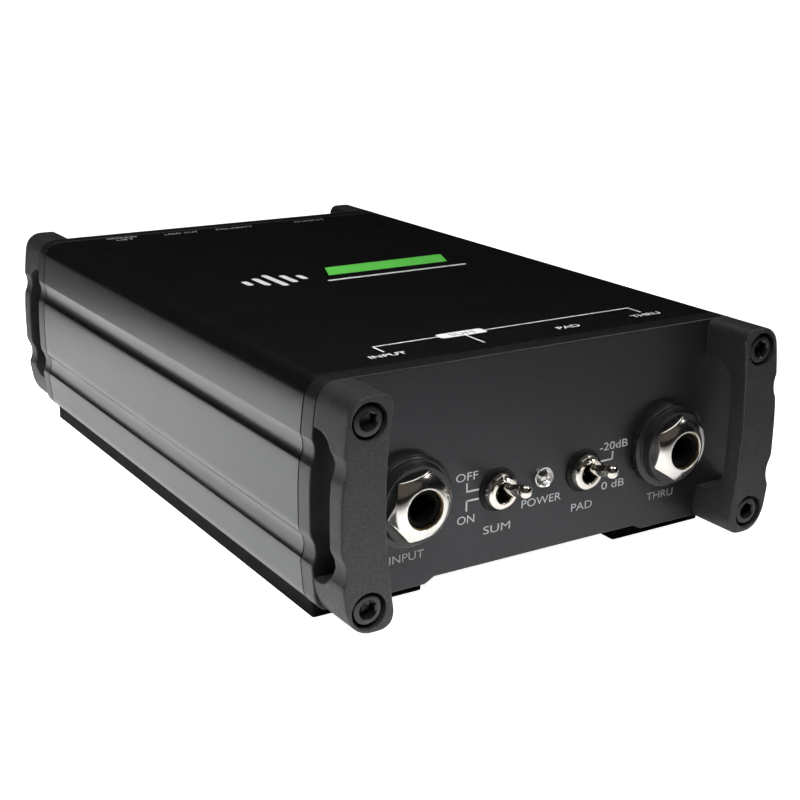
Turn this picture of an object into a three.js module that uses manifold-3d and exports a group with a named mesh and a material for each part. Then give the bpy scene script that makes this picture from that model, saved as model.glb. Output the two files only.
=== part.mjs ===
// An active direct injection box: a hollow aluminium sleeve closed by two end plates, with a cast
// bumper at each corner, rubber feet, jacks and switches in front, switches and an XLR behind.
// Millimetres, +Z up, front panel towards -Y, origin on the floor under the middle of the box.
import * as THREE from "three";
import { mergeVertices } from "three/addons/utils/BufferGeometryUtils.js";
import Module from "manifold-3d";

const wasm = await Module();
wasm.setup();

// ---------- driving dimensions ----------
const FOOT_H = 4; // height of the bumpers' lower ends above the floor
const BODY_H = 51; // height of the bumpers, and the top of the case above their lower ends
const HALF_W = 60; // half the width at the widest face
const SLEEVE_L = 160; // length of the aluminium sleeve
const PLATE_T = 5; // end plates
const PLATE_CHAMFER = 0.35;
const PANEL_Y = SLEEVE_L / 2 + PLATE_T; // outer face of either end plate, from the middle
const BUMPER_D = 13.2; // how far a bumper stands off its plate

const CORNER_R = 4.8; // outline: upper corner
const SHOULDER_X = 58.4; // outline: foot of the upper corner
const GROOVE_R = 6; // outline: the two long grooves of each side
const GROOVE_X = 64.7; // centre line of the grooves
const GROOVE_HALF = 2.95; // half a groove's opening
const GROOVE_CREST = 2.6; // the upper groove's opening above its middle
const GROOVE_EDGE_X = GROOVE_X - Math.sqrt(GROOVE_R ** 2 - GROOVE_HALF ** 2);
const GROOVE_Z = [36.45, 14.4]; // groove heights above the bumpers' lower ends
const UNDERSIDE_Z = 0.65; // underside of sleeve and plates; the bumpers reach a little lower
const RECESS_Z = 1.95; // underside: raised middle
const RECESS_IN = 28.8;
const RECESS_OUT = 31.2;

const WALL_X = 56.2; // inside of the sleeve
const FLOOR_Z = 3.6;
const CEILING_Z = 48.5;
const INNER_R = 3;
const SCREW_X = 53.5; // case screws
const SCREW_MID = 25.5;
const SCREW_DZ = 20.3;
const BOSS_R = 4.4;
const SCREW_D = 4; // M4
const HEAD_D = 7;
const HEAD_H = 4;
const HEX_AF = 3.55;
const HEX_DEPTH = 2.3;
const COUNTERBORE_D = 7.9;
const COUNTERBORE_DEPTH = 4.5;
const SCREW_LENGTH = 25;

const SLOT_BOTTOM = 8.85; // bumper: the finger slot behind its bar
const SLOT_TOP = 42;
const SLOT_DEPTH = 8.25;
const SLOT_R = 6;
const BUMPER_ROUND = 0.8;

const BOARD_HALF_W = 55.6; // circuit board and the ribs that hold it
const BOARD_L = 158;
const BOARD_T = 1.6;
const BOARD_Z = 10.9;
const RIB_REACH = 2.4;
const RIB_T = 1.4;
const BOARD_TOP = BOARD_Z + BOARD_T;

const JACK_X = 36.6;
const JACK_Z = 22; // all heights below are above the bumpers' lower ends
const TOGGLE_Z = 19.3;
const LED_Z = 20.2;
const FRONT_TOGGLE_X = 12.2;
const REAR_TOGGLE_X = { ground_lift: -35.4, low_cut: -17, polarity: 1.4 };
const XLR_X = 28.4;
const XLR_Z = 25.5;

const NOSE_D = 9.4; // jack
const JACK_BORE_D = 6.5;
const NOSE_END = 6.7;
const JACK_W = 17;
const JACK_L = 27;
const NUT_AF = 14.3;
const NUT_FACE = 7.9;
const COLLAR_D = 21;
const COLLAR_STEP_D = 17.6;
const COLLAR_T = 2.4;
const COLLAR_TOTAL = 5;
const LIP_R = 4.45; // hole in the jack nut's rolled lip

const BUSHING_D = 6.3; // toggle switches
const BUSHING_END = 2.3;
const TOGGLE_WASHER_D = 10.2;
const TOGGLE_WASHER_T = 0.6;
const TOGGLE_NUT_D = 8.5;
const TOGGLE_NUT_END = 2.75;
const LEVER_PIVOT = 1; // behind the panel's face
const LEVER_LENGTH = 11.2; // pivot to the centre of the round tip
const LEVER_TILT = THREE.MathUtils.degToRad(14.5);
const LEVER_TIP_R = 1.62;

const XLR_BARREL_D = 23.6;
const XLR_CUP_D = 19;
const XLR_DEPTH = 20;
const XLR_FLANGE_T = 2;
const XLR_FLANGE = { w: 26, h: 31, r: 3 };
const XLR_SCREW = { x: 9.5, z: 12 };
const PIN_D = 2.4;
const PIN_CIRCLE = 4.1;

const FOOT = { in: 28, out: 56, front: -78.6, back: 83.6, r: 0.6 };

// ---------- materials ----------
const paint = (color, roughness, metalness) => ({ color, roughness, metalness });
const ANODISED = paint(0x17181a, 0.38, 0.6);
const PANEL_BLACK = paint(0x2b2c2e, 0.5, 0.35);
const POWDER_COAT = paint(0x303132, 0.72, 0.1);
const BLACK_STEEL = paint(0x1c1c1d, 0.42, 0.6);
const RUBBER = paint(0x1b1b1b, 0.9, 0);
const BLACK_PLASTIC = paint(0x161617, 0.55, 0);
const CHROME = paint(0xd6d6d4, 0.12, 1);
const NICKEL = paint(0xc9c6bd, 0.2, 1);
const BRONZE = paint(0xc29a55, 0.3, 1);
const CLEAR_LENS = paint(0xdfe4e2, 0.1, 0);
const CIRCUIT_GREEN = paint(0x1d4a2e, 0.6, 0);
const SILVER_PIN = paint(0xdadbd8, 0.25, 1);

// ---------- solids ----------
function solid(geometry) {
  const bare = new THREE.BufferGeometry();
  bare.setAttribute("position", geometry.getAttribute("position").clone());
  if (geometry.index) bare.setIndex(geometry.index.clone());
  const merged = mergeVertices(bare, 1e-4);
  const vertProperties = merged.attributes.position.array;
  const triVerts = new Uint32Array(merged.index.array);
  const made = new wasm.Manifold(new wasm.Mesh({ numProp: 3, vertProperties, triVerts }));
  if (made.volume() >= 0) return made;
  triVerts.reverse();
  return new wasm.Manifold(new wasm.Mesh({ numProp: 3, vertProperties, triVerts }));
}

function surface(made) {
  const mesh = made.getMesh();
  const geometry = new THREE.BufferGeometry();
  geometry.setAttribute("position", new THREE.BufferAttribute(mesh.vertProperties, 3));
  geometry.setIndex(new THREE.BufferAttribute(mesh.triVerts, 1));
  const flat = geometry.toNonIndexed();
  flat.computeVertexNormals();
  return flat;
}

function box(x0, x1, y0, y1, z0, z1) {
  const geometry = new THREE.BoxGeometry(x1 - x0, y1 - y0, z1 - z0);
  return solid(geometry.translate((x0 + x1) / 2, (y0 + y1) / 2, (z0 + z1) / 2));
}

// A rod along Y from y0 to y1.
function rod(diameter, y0, y1, x = 0, z = 0, sides = 24) {
  const geometry = new THREE.CylinderGeometry(diameter / 2, diameter / 2, y1 - y0, sides);
  return solid(geometry.translate(x, (y0 + y1) / 2, z));
}

// A hexagonal bar along Y, given across its flats, with a corner straight up.
function hexBar(acrossFlats, y0, y1) {
  return rod((acrossFlats * 2) / Math.sqrt(3), y0, y1, 0, 0, 6);
}

// A turned piece about Y; points are [radius, y].
function turned(points, sides = 32) {
  const profile = points.map(([r, y]) => new THREE.Vector2(r, y));
  return solid(new THREE.LatheGeometry(profile, sides));
}

// A shape drawn in X and Z, extruded along Y from y0 to y1, its edges rounded or chamfered inwards.
function prism(shape, y0, y1, { edge = 0, steps = 1, curveSegments = 6 } = {}) {
  const geometry = new THREE.ExtrudeGeometry(shape, {
    depth: y1 - y0 - 2 * edge,
    curveSegments,
    bevelEnabled: edge > 0,
    bevelThickness: edge,
    bevelSize: edge,
    bevelOffset: -edge,
    bevelSegments: steps,
  });
  geometry.rotateX(Math.PI / 2);
  return solid(geometry.translate(0, y1 - edge, 0));
}

function roundedRect(x0, x1, z0, z1, r) {
  const shape = new THREE.Shape();
  shape.moveTo(x0 + r, z0);
  shape.lineTo(x1 - r, z0);
  shape.absarc(x1 - r, z0 + r, r, -Math.PI / 2, 0, false);
  shape.lineTo(x1, z1 - r);
  shape.absarc(x1 - r, z1 - r, r, 0, Math.PI / 2, false);
  shape.lineTo(x0 + r, z1);
  shape.absarc(x0 + r, z1 - r, r, Math.PI / 2, Math.PI, false);
  shape.lineTo(x0, z0 + r);
  shape.absarc(x0 + r, z0 + r, r, Math.PI, 1.5 * Math.PI, false);
  return shape;
}

// ---------- the outline that sleeve, plates and bumpers share ----------
// One side, from the foot of the upper corner down past the lower groove. It is widest in between.
function drawGroovedSide(shape) {
  const [upper, lower] = GROOVE_Z;
  const half = Math.asin(GROOVE_HALF / GROOVE_R);
  const crest = Math.asin(GROOVE_CREST / GROOVE_R);
  shape.absarc(GROOVE_X, upper, GROOVE_R, Math.PI - crest, Math.PI + half, false);
  shape.quadraticCurveTo(HALF_W - 0.15, upper - GROOVE_HALF - 1.1, HALF_W, 26);
  shape.lineTo(HALF_W, 20);
  shape.quadraticCurveTo(HALF_W, lower + GROOVE_HALF + 0.9, GROOVE_EDGE_X, lower + GROOVE_HALF);
  shape.absarc(GROOVE_X, lower, GROOVE_R, Math.PI - half, Math.PI + half, false);
  shape.lineTo(59.55, lower - GROOVE_HALF - 1);
}

function caseHalf() {
  const shape = new THREE.Shape();
  shape.moveTo(0, BODY_H);
  shape.absarc(SHOULDER_X - CORNER_R, BODY_H - CORNER_R, CORNER_R, Math.PI / 2, 0, true);
  drawGroovedSide(shape);
  shape.lineTo(59.02, 4.8);
  shape.quadraticCurveTo(58.9, 2.2, 57.3, 1.25);
  shape.quadraticCurveTo(56.7, UNDERSIDE_Z, 56, UNDERSIDE_Z);
  shape.lineTo(RECESS_OUT, UNDERSIDE_Z);
  shape.lineTo(RECESS_IN, RECESS_Z);
  shape.lineTo(0, RECESS_Z);
  return shape.getPoints(4);
}

function caseOutline() {
  const right = caseHalf();
  const left = right
    .slice(1, -1)
    .reverse()
    .map((p) => new THREE.Vector2(-p.x, p.y));
  return new THREE.Shape([...right, ...left]);
}

function bumperOutline() {
  const shape = new THREE.Shape();
  shape.moveTo(50.5, BODY_H);
  shape.lineTo(SHOULDER_X - CORNER_R, BODY_H);
  shape.absarc(SHOULDER_X - CORNER_R, BODY_H - CORNER_R, CORNER_R, Math.PI / 2, 0, true);
  drawGroovedSide(shape);
  shape.lineTo(58.9, 6);
  shape.quadraticCurveTo(57.6, 0.3, 53, 0);
  shape.lineTo(50.9, 0);
  shape.quadraticCurveTo(47.4, 0.2, 47.4, 3.8);
  shape.quadraticCurveTo(51.2, 26, 47.9, 48.4);
  shape.quadraticCurveTo(48.2, BODY_H, 50.5, BODY_H);
  return shape;
}

function screwPlaces() {
  const places = [];
  for (const x of [-SCREW_X, SCREW_X]) {
    for (const dz of [-SCREW_DZ, SCREW_DZ]) places.push([x, SCREW_MID + dz]);
  }
  return places;
}

// ---------- the case ----------
function makeSleeve() {
  const end = SLEEVE_L / 2;
  let made = prism(caseOutline(), -end, end);
  const hollow = roundedRect(-WALL_X, WALL_X, FLOOR_Z, CEILING_Z, INNER_R);
  made = made.subtract(prism(hollow, -end - 1, end + 1, { curveSegments: 3 }));
  for (const [x, z] of screwPlaces()) made = made.add(rod(2 * BOSS_R, -end, end, x, z, 18));
  for (const side of [-1, 1]) {
    for (const z of [BOARD_Z - 0.1 - RIB_T, BOARD_TOP + 0.1]) {
      const inner = side * (WALL_X - RIB_REACH);
      const outer = side * (WALL_X + 0.5);
      const x = [Math.min(inner, outer), Math.max(inner, outer)];
      made = made.add(box(x[0], x[1], -end, end, z, z + RIB_T));
    }
  }
  for (const [x, z] of screwPlaces()) {
    made = made.subtract(rod(SCREW_D + 0.2, -end - 1, end + 1, x, z, 18));
  }
  return made;
}

// A blank end plate with its four screw holes, outer face at y = 0 and inner face at y = PLATE_T.
function makePlate() {
  let made = prism(caseOutline(), 0, PLATE_T, { edge: PLATE_CHAMFER });
  for (const [x, z] of screwPlaces()) {
    made = made.subtract(rod(SCREW_D + 0.4, -1, PLATE_T + 1, x, z, 18));
  }
  return made;
}

function makeFrontPanel() {
  let made = makePlate();
  const holes = [
    [-JACK_X, JACK_Z, NOSE_D + 0.4],
    [JACK_X, JACK_Z, NOSE_D + 0.4],
    [-FRONT_TOGGLE_X, TOGGLE_Z, BUSHING_D + 0.3],
    [FRONT_TOGGLE_X, TOGGLE_Z, BUSHING_D + 0.3],
    [0, LED_Z, 5.2],
  ];
  for (const [x, z, d] of holes) made = made.subtract(rod(d, -1, PLATE_T + 1, x, z));
  return made;
}

// Seen from its own outer side, so x runs the other way from the front panel's.
function makeRearPanel() {
  let made = makePlate();
  for (const x of Object.values(REAR_TOGGLE_X)) {
    made = made.subtract(rod(BUSHING_D + 0.3, -1, PLATE_T + 1, -x, TOGGLE_Z));
  }
  made = made.subtract(rod(XLR_BARREL_D + 0.4, -1, PLATE_T + 1, -XLR_X, XLR_Z));
  for (const side of [-1, 1]) {
    const x = -XLR_X + side * XLR_SCREW.x;
    made = made.subtract(rod(2.7, -1, PLATE_T + 1, x, XLR_Z - side * XLR_SCREW.z));
  }
  return made;
}

// The right-hand bumper of a plate whose outer face is at y = 0.
function makeBumper() {
  let made = prism(bumperOutline(), -BUMPER_D, 0, { edge: BUMPER_ROUND, steps: 2, curveSegments: 3 });
  const slot = new THREE.Shape();
  slot.moveTo(1, SLOT_BOTTOM);
  slot.lineTo(1, SLOT_TOP);
  slot.lineTo(-SLOT_DEPTH + SLOT_R, SLOT_TOP);
  slot.absarc(-SLOT_DEPTH + SLOT_R, SLOT_TOP - SLOT_R, SLOT_R, Math.PI / 2, Math.PI, false);
  slot.lineTo(-SLOT_DEPTH, SLOT_BOTTOM + SLOT_R);
  slot.absarc(-SLOT_DEPTH + SLOT_R, SLOT_BOTTOM + SLOT_R, SLOT_R, Math.PI, 1.5 * Math.PI, false);
  const cut = new THREE.ExtrudeGeometry(slot, {
    depth: 2 * HALF_W,
    bevelEnabled: false,
    curveSegments: 5,
  });
  // The slot is drawn in Y and Z and runs along X.
  cut.applyMatrix4(new THREE.Matrix4().makeBasis(
    new THREE.Vector3(0, 1, 0),
    new THREE.Vector3(0, 0, 1),
    new THREE.Vector3(1, 0, 0),
  ));
  made = made.subtract(solid(cut));
  for (const dz of [-SCREW_DZ, SCREW_DZ]) {
    const z = SCREW_MID + dz;
    made = made.subtract(rod(SCREW_D + 0.4, -BUMPER_D - 1, 1, SCREW_X, z));
    made = made.subtract(
      rod(COUNTERBORE_D, -BUMPER_D - 1, -BUMPER_D + COUNTERBORE_DEPTH, SCREW_X, z, 32),
    );
  }
  return made;
}

// A socket cap screw pointing along +Y, with the underside of its head at y = 0.
function makeCapScrew() {
  const head = HEAD_D / 2;
  const shank = SCREW_D / 2;
  const made = turned([
    [0, -HEAD_H],
    [head - 0.5, -HEAD_H],
    [head, -HEAD_H + 0.5],
    [head, 0],
    [shank, 0],
    [shank, SCREW_LENGTH - 0.8],
    [shank - 0.6, SCREW_LENGTH],
    [0, SCREW_LENGTH],
  ], 18);
  return made.subtract(hexBar(HEX_AF, -HEAD_H - 1, -HEAD_H + HEX_DEPTH));
}

function makeFoot() {
  const plan = roundedRect(FOOT.in, FOOT.out, FOOT.front, FOOT.back, FOOT.r);
  const geometry = new THREE.ExtrudeGeometry(plan, {
    depth: FOOT_H + UNDERSIDE_Z - 0.8,
    curveSegments: 2,
    bevelThickness: 0.4,
    bevelSize: 0.4,
    bevelOffset: -0.4,
    bevelSegments: 2,
  });
  return solid(geometry.translate(0, 0, 0.4));
}

// ---------- jacks ----------
// Pieces that stand in a panel have its outer face at y = 0 and their own axis along Y.
function makeJackBody() {
  const top = 9.2;
  const bottom = BOARD_TOP - JACK_Z;
  const end = PLATE_T + JACK_L;
  let made = box(-JACK_W / 2, JACK_W / 2, PLATE_T, end, bottom, top);
  made = made.add(rod(NOSE_D, -NOSE_END, PLATE_T + 1, 0, 0, 32));
  made = made.subtract(rod(JACK_BORE_D, -NOSE_END - 1, end - 2, 0, 0, 32));
  // The pocket of the tip contact, open to the bore and at the back.
  return made.subtract(box(-2.2, 2.2, PLATE_T + 15, end + 1, 2, 6.6));
}

// A sprung strip that bows down towards the bore and comes out at the back as a solder tag.
function makeJackContact() {
  const start = PLATE_T + 15.5;
  const end = PLATE_T + JACK_L + 3;
  const strip = new THREE.Shape();
  strip.moveTo(start, 4.6);
  strip.quadraticCurveTo(start + 3.2, 1.2, start + 6.4, 4.2);
  strip.lineTo(end, 5.2);
  strip.lineTo(end, 5.7);
  strip.lineTo(start + 6.3, 4.7);
  strip.quadraticCurveTo(start + 3.2, 1.8, start, 5.1);
  const geometry = new THREE.ExtrudeGeometry(strip, {
    depth: 3,
    bevelEnabled: false,
    curveSegments: 8,
  });
  geometry.applyMatrix4(new THREE.Matrix4().makeBasis(
    new THREE.Vector3(0, 1, 0),
    new THREE.Vector3(0, 0, 1),
    new THREE.Vector3(1, 0, 0),
  ));
  return solid(geometry.translate(-1.5, 0, 0));
}

function makeJackCollar() {
  const bore = (NOSE_D + 0.3) / 2;
  const outer = COLLAR_D / 2;
  const step = COLLAR_STEP_D / 2;
  return turned([
    [bore, 0],
    [bore, -COLLAR_TOTAL],
    [step - 0.3, -COLLAR_TOTAL],
    [step, -COLLAR_TOTAL + 0.3],
    [step + 0.6, -COLLAR_T],
    [outer - 0.5, -COLLAR_T],
    [outer, -COLLAR_T + 0.5],
    [outer, 0],
    [bore, 0],
  ], 32);
}

// A domed hexagonal nut whose rim closes over the jack's nose.
function makeJackNut() {
  const bore = NOSE_D / 2 + 0.1;
  const corner = NUT_AF / Math.sqrt(3);
  const dome = turned([
    [bore, -COLLAR_TOTAL],
    [bore, -NOSE_END - 0.1],
    [LIP_R, -NOSE_END - 0.3],
    [LIP_R, -NUT_FACE + 0.25],
    [LIP_R + 0.2, -NUT_FACE],
    [5.4, -NUT_FACE + 0.3],
    [6.4, -NUT_FACE + 0.9],
    [7.5, -NUT_FACE + 1.75],
    [corner, -NUT_FACE + 2.55],
    [corner + 0.1, -COLLAR_TOTAL - 0.15],
    [corner - 0.15, -COLLAR_TOTAL],
    [bore, -COLLAR_TOTAL],
  ], 30);
  return dome.intersect(hexBar(NUT_AF, -NUT_FACE - 1, -COLLAR_TOTAL + 1));
}

// ---------- toggle switches ----------
function makeToggleBody() {
  let made = box(-3.6, 3.6, PLATE_T + 0.9, PLATE_T + 9.4, -6.5, 6.5);
  for (const z of [-4.7, 0, 4.7]) {
    made = made.add(box(-0.6, 0.6, PLATE_T + 9, PLATE_T + 13, z - 0.4, z + 0.4));
  }
  return made;
}

function makeToggleBushing() {
  const r = BUSHING_D / 2;
  const tube = turned([
    [0, LEVER_PIVOT + 2.1],
    [2.05, LEVER_PIVOT + 2.1],
    [2.05, 0],
    [2.35, -BUSHING_END],
    [r - 0.2, -BUSHING_END],
    [r, -BUSHING_END + 0.2],
    [r, PLATE_T + 0.5],
    [0, PLATE_T + 0.5],
  ], 20);
  return tube.add(box(-3.6, 3.6, PLATE_T, PLATE_T + 0.9, -6.2, 6.2));
}

function makeToggleWasher() {
  const outer = TOGGLE_WASHER_D / 2;
  const bore = BUSHING_D / 2 + 0.1;
  return turned([
    [bore, 0],
    [bore, -TOGGLE_WASHER_T],
    [outer - 0.15, -TOGGLE_WASHER_T],
    [outer, -TOGGLE_WASHER_T + 0.15],
    [outer, 0],
    [bore, 0],
  ], 20);
}

// A round dress nut, tapering a little towards a rounded rim that closes over the bushing.
function makeToggleNut() {
  const bore = BUSHING_D / 2 + 0.1;
  const outer = TOGGLE_NUT_D / 2;
  const back = -TOGGLE_WASHER_T;
  const end = -TOGGLE_NUT_END;
  return turned([
    [bore, back],
    [bore, -BUSHING_END - 0.05],
    [2.42, -BUSHING_END - 0.05],
    [2.42, end - 0.15],
    [2.65, end - 0.3],
    [3.3, end - 0.15],
    [3.8, end + 0.5],
    [outer, back],
    [bore, back],
  ], 20);
}

// The lever along -Y, its pivot at the origin: a pivot ball, a bat-shaped shaft and a round tip.
function makeToggleLever() {
  const ball = 1.94;
  const neck = 1;
  const tip = LEVER_TIP_R;
  const neckAngle = Math.PI - Math.asin(neck / ball);
  const points = [[0, ball]];
  for (let i = 1; i <= 6; i += 1) {
    const a = neckAngle * (i / 6);
    points.push([ball * Math.sin(a), ball * Math.cos(a)]);
  }
  for (let i = 0; i < 4; i += 1) {
    const a = (Math.PI / 2) * (i / 4);
    points.push([tip * Math.cos(a), -LEVER_LENGTH - tip * Math.sin(a)]);
  }
  points.push([0, -LEVER_LENGTH - tip]);
  return turned(points, 16);
}

// ---------- indicator and XLR ----------
function makeLed() {
  const r = 2.5;
  const points = [[0, PLATE_T + 4], [2.9, PLATE_T + 4], [2.9, PLATE_T + 3], [r, PLATE_T + 3]];
  for (let i = 0; i < 5; i += 1) {
    const a = (Math.PI / 2) * (i / 5);
    points.push([r * Math.cos(a), -0.3 - r * Math.sin(a)]);
  }
  points.push([0, -0.3 - r]);
  let made = turned(points, 20);
  for (const x of [-1.27, 1.27]) {
    made = made.add(box(x - 0.25, x + 0.25, PLATE_T + 3.8, PLATE_T + 6, -0.25, 0.25));
    made = made.add(
      box(x - 0.25, x + 0.25, PLATE_T + 5.5, PLATE_T + 6, BOARD_TOP - LED_Z, 0.25),
    );
  }
  return made;
}

function makeXlrShell() {
  const { w, h, r } = XLR_FLANGE;
  let made = prism(roundedRect(-w / 2, w / 2, -h / 2, h / 2, r), -XLR_FLANGE_T, 0, { edge: 0.3 });
  made = made.add(rod(XLR_BARREL_D, -0.5, XLR_DEPTH, 0, 0, 32));
  made = made.subtract(rod(XLR_CUP_D, -XLR_FLANGE_T - 1, XLR_DEPTH + 1, 0, 0, 32));
  for (const side of [-1, 1]) {
    made = made.subtract(
      rod(3.3, -XLR_FLANGE_T - 1, 1, side * XLR_SCREW.x, -side * XLR_SCREW.z),
    );
  }
  return made;
}

function pinPlaces() {
  return [-60, 180, 60].map((degrees) => {
    const a = THREE.MathUtils.degToRad(degrees);
    return [PIN_CIRCLE * Math.sin(a), PIN_CIRCLE * Math.cos(a)];
  });
}

function makeXlrInsert() {
  let made = rod(XLR_CUP_D - 0.2, XLR_DEPTH - 8, XLR_DEPTH, 0, 0, 32);
  for (const [x, z] of pinPlaces()) {
    made = made.subtract(rod(PIN_D + 0.1, 0, XLR_DEPTH + 1, x, z, 16));
  }
  return made;
}

function makeXlrPin() {
  const r = PIN_D / 2;
  return turned([
    [0, 1],
    [0.6, 1.1],
    [1, 1.5],
    [r, 2.2],
    [r, XLR_DEPTH],
    [0.8, XLR_DEPTH],
    [0.8, XLR_DEPTH + 4],
    [0, XLR_DEPTH + 4],
  ], 16);
}

function makeXlrScrew() {
  return turned([
    [0, -XLR_FLANGE_T - 1.8],
    [1.6, -XLR_FLANGE_T - 1.7],
    [2.5, -XLR_FLANGE_T - 1.1],
    [2.8, -XLR_FLANGE_T],
    [1.25, -XLR_FLANGE_T],
    [1.25, PLATE_T + 0.5],
    [0, PLATE_T + 0.5],
  ], 20).subtract(hexBar(2, -XLR_FLANGE_T - 3, -XLR_FLANGE_T - 0.6));
}

// ---------- electronics ----------
function makeBoard() {
  return box(-BOARD_HALF_W, BOARD_HALF_W, -BOARD_L / 2, BOARD_L / 2, BOARD_Z, BOARD_TOP);
}

// A can capacitor standing on the board, turned about its own upright axis.
function makeCapacitor() {
  const profile = [[0, 0], [6, 0], [6.2, 0.4], [6.2, 1.6], [5.8, 2], [6.2, 2.4], [6.2, 19.5],
    [5.7, 20], [0, 20]];
  const points = profile.map(([r, z]) => new THREE.Vector2(r, z));
  return solid(new THREE.LatheGeometry(points, 24).rotateX(Math.PI / 2));
}

// ---------- assembly ----------
const root = new THREE.Group();
const front = new THREE.Group();
front.position.set(0, -PANEL_Y, FOOT_H);
const rear = new THREE.Group();
rear.position.set(0, PANEL_Y, FOOT_H);
rear.rotation.z = Math.PI;
const middle = new THREE.Group();
middle.position.z = FOOT_H;
root.add(front, rear, middle);

function put(parent, name, made, finish, place = [0, 0, 0]) {
  const mesh = new THREE.Mesh(surface(made), new THREE.MeshStandardMaterial(finish));
  mesh.name = name;
  mesh.position.set(...place);
  parent.add(mesh);
  return mesh;
}

function putBumper(parent, name, side) {
  const right = makeBumper();
  const made = side > 0 ? right : right.mirror([1, 0, 0]);
  put(parent, `bumper_${name}`, made, POWDER_COAT);
  for (const [level, dz] of [["upper", SCREW_DZ], ["lower", -SCREW_DZ]]) {
    const place = [side * SCREW_X, -BUMPER_D + COUNTERBORE_DEPTH, SCREW_MID + dz];
    put(parent, `screw_${name}_${level}`, makeCapScrew(), BLACK_STEEL, place);
  }
}

function putJack(name, x, nutTurn) {
  const place = [x, 0, JACK_Z];
  put(front, `${name}_jack_body`, makeJackBody(), BLACK_PLASTIC, place);
  put(front, `${name}_jack_contact`, makeJackContact(), BRONZE, place);
  put(front, `${name}_jack_collar`, makeJackCollar(), BLACK_PLASTIC, place);
  const nut = put(front, `${name}_jack_nut`, makeJackNut(), CHROME, place);
  nut.rotation.y = THREE.MathUtils.degToRad(nutTurn);
}

function putToggle(parent, name, x) {
  const place = [x, 0, TOGGLE_Z];
  put(parent, `${name}_switch_body`, makeToggleBody(), BLACK_PLASTIC, place);
  put(parent, `${name}_switch_bushing`, makeToggleBushing(), NICKEL, place);
  put(parent, `${name}_switch_washer`, makeToggleWasher(), BLACK_STEEL, place);
  put(parent, `${name}_switch_nut`, makeToggleNut(), NICKEL, place);
  const pivot = [x, LEVER_PIVOT, TOGGLE_Z];
  const lever = put(parent, `${name}_switch_lever`, makeToggleLever(), NICKEL, pivot);
  lever.rotation.x = -LEVER_TILT;
}

put(middle, "case_sleeve", makeSleeve(), ANODISED);
put(front, "front_panel", makeFrontPanel(), PANEL_BLACK);
put(rear, "rear_panel", makeRearPanel(), PANEL_BLACK);
putBumper(front, "front_left", -1);
putBumper(front, "front_right", 1);
putBumper(rear, "rear_left", 1);
putBumper(rear, "rear_right", -1);
put(root, "foot_left", makeFoot().mirror([1, 0, 0]), RUBBER);
put(root, "foot_right", makeFoot(), RUBBER);

putJack("input", -JACK_X, 18);
putJack("thru", JACK_X, 4);
putToggle(front, "merge", -FRONT_TOGGLE_X);
putToggle(front, "pad", FRONT_TOGGLE_X);
put(front, "power_led", makeLed(), CLEAR_LENS, [0, 0, LED_Z]);

for (const [name, x] of Object.entries(REAR_TOGGLE_X)) putToggle(rear, name, -x);
const xlrPlace = [-XLR_X, 0, XLR_Z];
put(rear, "output_xlr_shell", makeXlrShell(), BLACK_STEEL, xlrPlace);
put(rear, "output_xlr_insert", makeXlrInsert(), BLACK_PLASTIC, xlrPlace);
pinPlaces().forEach(([x, z], i) => {
  put(rear, `output_xlr_pin_${i + 1}`, makeXlrPin(), SILVER_PIN, [x - XLR_X, 0, XLR_Z + z]);
});
for (const [name, side] of [["upper", -1], ["lower", 1]]) {
  const place = [side * XLR_SCREW.x - XLR_X, 0, XLR_Z - side * XLR_SCREW.z];
  put(rear, `output_xlr_screw_${name}`, makeXlrScrew(), BLACK_STEEL, place);
}

put(middle, "circuit_board", makeBoard(), CIRCUIT_GREEN);
put(middle, "supply_capacitor", makeCapacitor(), BLACK_PLASTIC, [-22, 18, BOARD_TOP]);

export default root;
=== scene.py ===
"""Looks of a direct injection box, built around its CAD frame. Shapes are in millimetres."""
import math

import bmesh
import bpy
from mathutils import Matrix, Vector
from mathutils.geometry import tessellate_polygon


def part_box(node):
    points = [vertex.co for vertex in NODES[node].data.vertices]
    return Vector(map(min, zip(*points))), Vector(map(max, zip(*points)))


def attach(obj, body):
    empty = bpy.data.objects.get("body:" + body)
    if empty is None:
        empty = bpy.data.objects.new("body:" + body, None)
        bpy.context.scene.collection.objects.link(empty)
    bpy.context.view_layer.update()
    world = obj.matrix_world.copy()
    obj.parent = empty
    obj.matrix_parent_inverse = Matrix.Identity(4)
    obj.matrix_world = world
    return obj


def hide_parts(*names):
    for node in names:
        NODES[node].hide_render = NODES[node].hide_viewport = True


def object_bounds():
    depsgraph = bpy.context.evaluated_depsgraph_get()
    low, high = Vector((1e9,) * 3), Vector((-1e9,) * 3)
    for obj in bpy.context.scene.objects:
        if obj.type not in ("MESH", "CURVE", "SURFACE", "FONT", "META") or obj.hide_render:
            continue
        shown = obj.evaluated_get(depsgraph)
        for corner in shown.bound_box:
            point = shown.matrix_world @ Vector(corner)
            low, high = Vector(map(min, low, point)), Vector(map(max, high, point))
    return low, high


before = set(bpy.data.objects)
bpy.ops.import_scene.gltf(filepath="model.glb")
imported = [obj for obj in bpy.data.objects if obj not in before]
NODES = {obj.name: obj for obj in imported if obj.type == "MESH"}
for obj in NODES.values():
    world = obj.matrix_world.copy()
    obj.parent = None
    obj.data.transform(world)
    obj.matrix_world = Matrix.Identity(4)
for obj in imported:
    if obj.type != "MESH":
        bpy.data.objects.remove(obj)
CAD_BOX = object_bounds()
MM = 0.001


# ---------- sizes worked out from the frame, in millimetres ----------
def low(node):
    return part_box(node)[0] / MM


def high(node):
    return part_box(node)[1] / MM


def middle(node):
    return (low(node) + high(node)) / 2


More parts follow.
